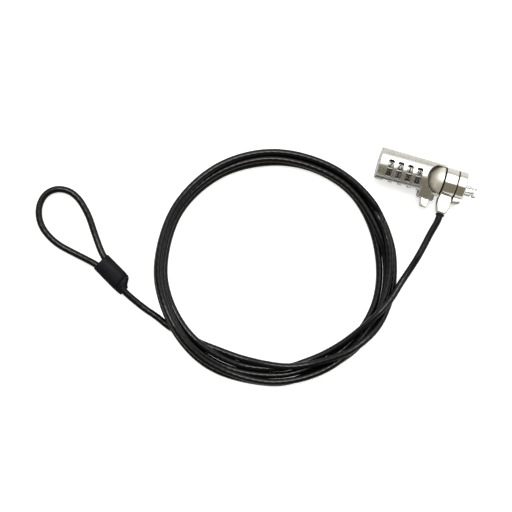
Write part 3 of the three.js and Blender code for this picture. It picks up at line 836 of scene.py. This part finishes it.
def digit(text):
    data = bpy.data.curves.new("digit", "FONT")
    data.body = text
    data.size = 4.3
    data.extrude = 0.06
    data.offset = 0.1
    obj = bpy.data.objects.new("digit", data)
    bpy.context.scene.collection.objects.link(obj)
    mesh = bpy.data.meshes.new_from_object(obj.evaluated_get(bpy.context.evaluated_depsgraph_get()))
    bpy.data.objects.remove(obj)
    bm = bmesh.new()
    bm.from_mesh(mesh)
    bmesh.ops.remove_doubles(bm, verts=bm.verts, dist=1e-4)
    for _ in range(3):
        long_edges = [e for e in bm.edges if e.calc_length() > 0.6]
        bmesh.ops.subdivide_edges(bm, edges=long_edges, cuts=1)
        bmesh.ops.triangulate(bm, faces=bm.faces)
    xs = [v.co.x for v in bm.verts]
    ys = [v.co.y for v in bm.verts]
    wide = min(1.15, NUMBER_WIDE / (max(xs) - min(xs)))
    for v in bm.verts:
        v.co.x = (v.co.x - (max(xs) + min(xs)) / 2) * wide
        v.co.y = (v.co.y - (max(ys) + min(ys)) / 2) * NUMBER_TALL / (max(ys) - min(ys))
    return bm


DIGITS = [digit(str(k)) for k in range(10)]


def numbers(i, upper):
    """The dial's inlaid numbers and, on one flank of each ridge, a black strip of painted shade standing in
    for the shadow under the window's upper end; upper is the window's top number.
    """
    x = DIAL_X + i * DIAL_PITCH
    out = bmesh.new()
    for k in range(10):
        a0 = math.radians(NUMBER_GAP_AT - 18 + 36 * ((k - upper) % 10))
        source = DIGITS[k]
        made = []
        for v in source.verts:
            a = a0 - v.co.y / DIAL_FACE_R
            r = DIAL_FACE_R + (0.03 if v.co.z > 0 else -0.08)
            made.append(out.verts.new((x + v.co.x, -r * math.sin(a), r * math.cos(a))))
        source.verts.index_update()
        seen = set()
        for f in source.faces:
            corners = tuple(v.index for v in f.verts)
            if frozenset(corners) not in seen:
                seen.add(frozenset(corners))
                out.faces.new([made[c] for c in corners])
    # painted shade: a near-black strip on one flank of each ridge, for the shadow at the window's upper end
    for k in range(10):
        rows = []
        for step in range(8):
            degrees = NUMBER_GAP_AT + 36 * k + SHADE_STRIP_FROM + SHADE_STRIP_STEP * step
            a, face = math.radians(degrees), dial_radius(degrees)
            rows.append([out.verts.new((x + dx, -r * math.sin(a), r * math.cos(a))) for dx in (-SHADE_STRIP_HALF,
                SHADE_STRIP_HALF) for r in (face - 0.08, face + 0.06)])
        for lo, hi in zip(rows, rows[1:]):
            for p, q in ((0, 1), (1, 3), (3, 2), (2, 0)):
                out.faces.new((lo[p], lo[q], hi[q], hi[p]))
        for end in (rows[0], rows[-1]):
            out.faces.new((end[0], end[1], end[3], end[2]))
    bmesh.ops.recalc_face_normals(out, faces=out.faces)
    mesh = bpy.data.meshes.new(f"dial_numbers_{i + 1}")
    out.to_mesh(mesh)
    out.free()
    return smooth(new_object(f"dial_numbers_{i + 1}", mesh), 35)


for i, upper in enumerate((7, 0, 1, 9)):
    place(dial(i), f"dial_{i + 1}", "dial_metal", dial_metal, f"dial_{i + 1}")
    place(numbers(i, upper), f"dial_{i + 1}", "dial_metal", digit_print_and_shade)


def push_button():
    outline = [(29.6, -10.7), (29.6, -13.6), (30.3, -17.75), (30.75, -18.1), (34.0, -18.1), (34.35, -17.75),
        (34.6, -13.6), (34.6, -10.7)]
    body = prism("push_key", outline, -2.4, 2.4)
    bevel(body, 0.5, 4, 40)
    return smooth(body, 50)


place(push_button(), "button", "polished_nickel", polished_nickel, "push_button")

# ---------------------------------------------------------------- head
COLLAR_X0, COLLAR_X1, CAP_X0, CAP_X1, HEAD_R, NECK_R = 39.9, 47.15, 47.85, 53.0, 8.65, 5.7
LUG_MID = 43.5


def dome():
    profile = [(39.2 - 7.9, 0)]
    last = math.acos(0.2 / 7.9)
    for k in range(1, 25):
        a = last * k / 24
        profile.append((39.2 - 7.9 * math.cos(a), 7.9 * math.sin(a)))
    profile += [(39.0, 7.8), (39.0, NECK_R), (47.75, NECK_R), (47.75, 4.6), (49.4, 4.6), (49.4, 0)]
    body = turned("swivel_dome", profile, 96)
    cut(body, rod("tool", 30, 42, 0.7, 24), rod("tool", 41, 50, 1.35, 32))
    return smooth(tidy(body, 0.002), 40)


place(dome(), "head", "head_nickel", head_nickel, "head_core")


def collar():
    e = 0.3
    drum = turned("cable_collar", [
        (COLLAR_X0, 0), (COLLAR_X0, HEAD_R - e), (COLLAR_X0 + 0.09, HEAD_R - 0.09), (COLLAR_X0 + e, HEAD_R),
        (COLLAR_X1 - e, HEAD_R), (COLLAR_X1 - 0.09, HEAD_R - 0.09), (COLLAR_X1, HEAD_R - e), (COLLAR_X1, 0),
    ], 128)
    right = [(3.6, -5.0), (3.6, -8.6)] + bezier((3.6, -8.6), (3.8, -9.6), (4.1, -10.4), (4.1, -11.5), 5)
    right += bezier((4.1, -11.5), (4.1, -15.0), (3.3, -17.0), (2.5, -19.0), 9)
    outline = [(LUG_MID - x, y) for x, y in right] + [(LUG_MID + x, y) for x, y in right[::-1]]
    lug = prism("lug", outline, -3.0, 3.0)
    bevel(lug, 0.95, 5, 50)
    tidy(lug, 0.01)
    join(drum, lug)
    cut(drum, rod("tool", COLLAR_X0 - 2, COLLAR_X1 + 2, NECK_R + 0.2, 64),
        rod_y("tool", LUG_MID, 0, -20, -9.5, 2.3, 40))
    return smooth(tidy(drum, 0.002), 38)


place(collar(), "root", "polished_nickel", polished_nickel, "swivel_collar")


def front_cap():
    edge = 0.9
    profile = [(CAP_X0, 0), (CAP_X0, HEAD_R - 0.2), (CAP_X0 + 0.06, HEAD_R - 0.06), (CAP_X0 + 0.2, HEAD_R)]
    for k in range(9):
        a = math.radians(90 * k / 8)
        profile.append((CAP_X1 - edge + edge * math.sin(a), HEAD_R - edge + edge * math.cos(a)))
    profile.append((CAP_X1, 0))
    drum = turned("front_cap_body", profile, 128)
    upper = [(-5.0, 3.65), (-8.0, 3.565), (-8.2, 3.56), (-10.6, 3.49), (-10.75, 3.46), (-11.2, 3.15),
        (-11.5, 2.65), (-11.64, 2.0), (-11.66, 1.4)]
    section = upper + [(y, -z) for y, z in upper[::-1]]
    lobe = turn_about(prism("lobe", section, CAP_X0, CAP_X0 + 10), ALONG_X)
    outline = [(CAP_X0 - 1, -5), (CAP_X0 - 1, -13)] + arc(CAP_X1 - 3.4, -8.7, 3.0, -90, 0,
        14) + [(CAP_X1 - 0.4, -5)]
    boolean(lobe, prism("tool", outline, -5, 5), "INTERSECT")
    bevel(lobe, 0.25, 2, 50)
    join(drum, tidy(lobe, 0.004))
    cut(drum, rod("tool", CAP_X0 - 1, 51.8, 4.85, 48), box("tool", 49.7, 51.8, -5.6, 3.5, -1.5, 1.5),
        box("tool", 51, CAP_X1 + 1, -5.1, 2.3, -1.4, 1.4))
    return smooth(tidy(drum, 0.002), 38)


place(front_cap(), "head", "polished_nickel", polished_nickel, "front_cap")


def washer(name, x0, x1, r):
    return smooth(ring_of(name, [(x0, NECK_R + 0.2), (x1, NECK_R + 0.2), (x1, r - 0.08), (x1 - 0.08, r),
        (x0 + 0.08, r), (x0, r - 0.08)], 96), 35)


place(washer("rear_seal", 39.12, 39.78, 8.42), "head", "black_nylon", black_nylon, "rear_washer")
place(washer("front_seal", 47.25, 47.75, 8.38), "head", "black_nylon", black_nylon, "front_washer")


def hook(name, inner, outer, root_inner, root_outer):
    tip = 60.6
    side = 1 if outer > inner else -1
    out = [(50.1, root_inner), (51.6, root_inner), (51.9, inner), (tip - 0.8, inner)]
    out += bezier(out[-1], (tip - 0.3, inner), (tip, inner + side * 0.3), (tip, inner + side * 0.8), 5)
    out += bezier(out[-1], (tip, outer - side * 0.2), (tip - 0.5, outer + side * 0.15),
        (tip - 1.2, outer + side * 0.15), 5)
    out += [(tip - 2.3, outer), (tip - 2.3, inner + side * 0.6), (tip - 3.4, inner + side * 0.6),
        (tip - 3.4, outer - side * 0.1),
            (52.0, outer - side * 0.1), (51.6, root_outer), (50.1, root_outer)]
    if side < 0:
        out = out[::-1]
    return smooth(bevel(prism(name, out, -1.1, 1.1), 0.24, 3, 40), 40)


place(hook("hook_upper", -0.05, 1.6, 1.3, 3.0), "hook", "steel", plain_steel, "hook_moving")
place(hook("hook_lower", -3.0, -4.65, -3.4, -5.2), "head", "steel", plain_steel, "hook_fixed")


def blade():
    shaft = rod("lock_blade", 42.2, 50.9, 1.15, 40)
    bridge = box("bridge", 50.6, 51.5, -2.7, 0.6, -0.8, 0.8)
    tongue = prism("tongue", [(50.8, -2.7), (58.6, -2.7), (59.4, -2.4), (59.4, -1.6), (58.6, -1.3),
        (50.8, -1.3)], -0.9, 0.9)
    bevel(tongue, 0.14, 3, 30)
    return smooth(join(shaft, bridge, tongue), 40)


place(blade(), "bolt", "steel", plain_steel, "lock_pin")


def grommet():
    body = turned("cable_gland", [
        (-20.5, 0), (-20.5, 2.2), (-20.42, 2.42), (-20.2, 2.52), (-19.85, 2.55), (-19.7, 2.42),
        (-19.55, 2.55), (-19.3, 2.6), (-19.12, 2.5), (-19.1, 2.3), (-19.1, 0),
    ], 64)
    turn_about(body, Matrix.Rotation(math.pi / 2, 4, "Z"))
    return smooth(turn_about(body, Matrix.Translation((LUG_MID, 0, 0))), 40)


place(grommet(), "root", "black_nylon", black_nylon, "cable_grommet")

# ---------------------------------------------------------------- CAD nodes that stay
CAD_FINISH = {
    "steel": plain_steel, "brass": machined_brass, "aluminium": dull_aluminium, "black_nylon": black_nylon,
    "satin_nickel": satin_nickel, "head_nickel": head_nickel, "polished_nickel": polished_nickel,
    "dial_metal": dial_metal, "black_vinyl": black_vinyl, "sleeve_vinyl": sleeve_vinyl,
}
for part in frame["record"]["subparts"]:
    node = frame["nodes"][part["node"]]
    for material_slot in node.material_slots:
        material_slot.material = CAD_FINISH[part["material_slot"]]

# ---------------------------------------------------------------- stage and light
floor_verts = [(-4, -4, -0.0003), (4, -4, -0.0003), (4, 4, -0.0003), (-4, 4, -0.0003)]
floor = mesh_object("floor", floor_verts, [(0, 1, 2, 3)])
floor_mat, floor_tree, floor_shader = graph("floor")
floor_shader.inputs["Base Color"].default_value = (0.62, 0.62, 0.62, 1)
floor_shader.inputs["Roughness"].default_value = 0.9
floor_shader.inputs["Specular IOR Level"].default_value = 0.0
floor_shader.inputs["Emission Color"].default_value = (1, 1, 1, 1)
floor_path = floor_tree.nodes.new("ShaderNodeLightPath")
floor_glow = floor_tree.nodes.new("ShaderNodeMath")
floor_glow.operation = "MULTIPLY"
floor_glow.inputs[1].default_value = 0.62
floor_tree.links.new(floor_path.outputs["Is Camera Ray"], floor_glow.inputs[0])
floor_tree.links.new(floor_glow.outputs[0], floor_shader.inputs["Emission Strength"])
floor.data.materials.append(floor_mat)


def studio():
    """A white studio, brightest overhead and towards +Y, with a dark side towards -Y."""
    world = bpy.data.worlds.new("studio")
    bpy.context.scene.world = world
    world.use_nodes = True
    tree = world.node_tree
    back = tree.nodes["Background"]
    coords = tree.nodes.new("ShaderNodeTexCoord")
    split = tree.nodes.new("ShaderNodeSeparateXYZ")
    tree.links.new(coords.outputs["Generated"], split.inputs["Vector"])
    lean = tree.nodes.new("ShaderNodeMath")
    lean.operation = "ARCTAN2"
    tree.links.new(split.outputs["Y"], lean.inputs[0])
    tree.links.new(split.outputs["Z"], lean.inputs[1])
    span = tree.nodes.new("ShaderNodeMapRange")
    span.inputs["From Min"].default_value = -math.pi
    span.inputs["From Max"].default_value = math.pi
    tree.links.new(lean.outputs[0], span.inputs["Value"])
    bands = tree.nodes.new("ShaderNodeValToRGB")
    # by the angle from the vertical towards +Y, in degrees: colour
    dim, side, lit = (0.118, 0.108, 0.082), (0.34, 0.34, 0.315), (1.0, 1.0, 0.98)
    stops = [(-125, side), (-92, side), (-84, dim), (-7.5, dim), (-1.5, lit), (62, lit), (72, side),
        (95, side), (120, side)]
    elements = bands.color_ramp.elements
    while len(elements) > 1:
        elements.remove(elements[-1])
    for k, (angle, value) in enumerate(stops):
        at = (angle + 180) / 360
        e = elements[0] if k == 0 else elements.new(at)
        e.position = at
        e.color = (*value, 1)
    # the overhead light also has ends, towards -X and +X
    end = tree.nodes.new("ShaderNodeMath")
    end.operation = "ABSOLUTE"
    tree.links.new(split.outputs["X"], end.inputs[0])
    fade = tree.nodes.new("ShaderNodeMapRange")
    fade.inputs["From Min"].default_value = 0.55
    fade.inputs["From Max"].default_value = 0.85
    tree.links.new(end.outputs[0], fade.inputs["Value"])
    tint = tree.nodes.new("ShaderNodeMix")
    tint.data_type = "RGBA"
    tint.inputs[7].default_value = (*side, 1)
    tree.links.new(fade.outputs["Result"], tint.inputs[0])
    tree.links.new(span.outputs["Result"], bands.inputs["Fac"])
    tree.links.new(bands.outputs["Color"], tint.inputs[6])
    # a small hot lamp in the middle of it
    lamp = tree.nodes.new("ShaderNodeVectorMath")
    lamp.operation = "DOT_PRODUCT"
    lamp.inputs[1].default_value = Vector((-0.10, 0.30, 0.95)).normalized()
    tree.links.new(coords.outputs["Generated"], lamp.inputs[0])
    hot = tree.nodes.new("ShaderNodeMapRange")
    hot.inputs["From Min"].default_value = math.cos(math.radians(13))
    hot.inputs["From Max"].default_value = math.cos(math.radians(7))
    hot.inputs["To Min"].default_value = 2.0
    hot.inputs["To Max"].default_value = 15.0
    tree.links.new(lamp.outputs["Value"], hot.inputs["Value"])
    tree.links.new(tint.outputs[2], back.inputs["Color"])
    tree.links.new(hot.outputs["Result"], back.inputs["Strength"])
    plain = tree.nodes.new("ShaderNodeBackground")
    plain.inputs["Color"].default_value = (0.93, 0.93, 0.93, 1)
    path = tree.nodes.new("ShaderNodeLightPath")
    mix = tree.nodes.new("ShaderNodeMixShader")
    out = tree.nodes["World Output"]
    tree.links.new(path.outputs["Is Camera Ray"], mix.inputs["Fac"])
    tree.links.new(back.outputs["Background"], mix.inputs[1])
    tree.links.new(plain.outputs["Background"], mix.inputs[2])
    tree.links.new(mix.outputs["Shader"], out.inputs["Surface"])


studio()
bpy.context.scene.view_settings.view_transform = "Standard"
bpy.context.scene.view_settings.look = "None"
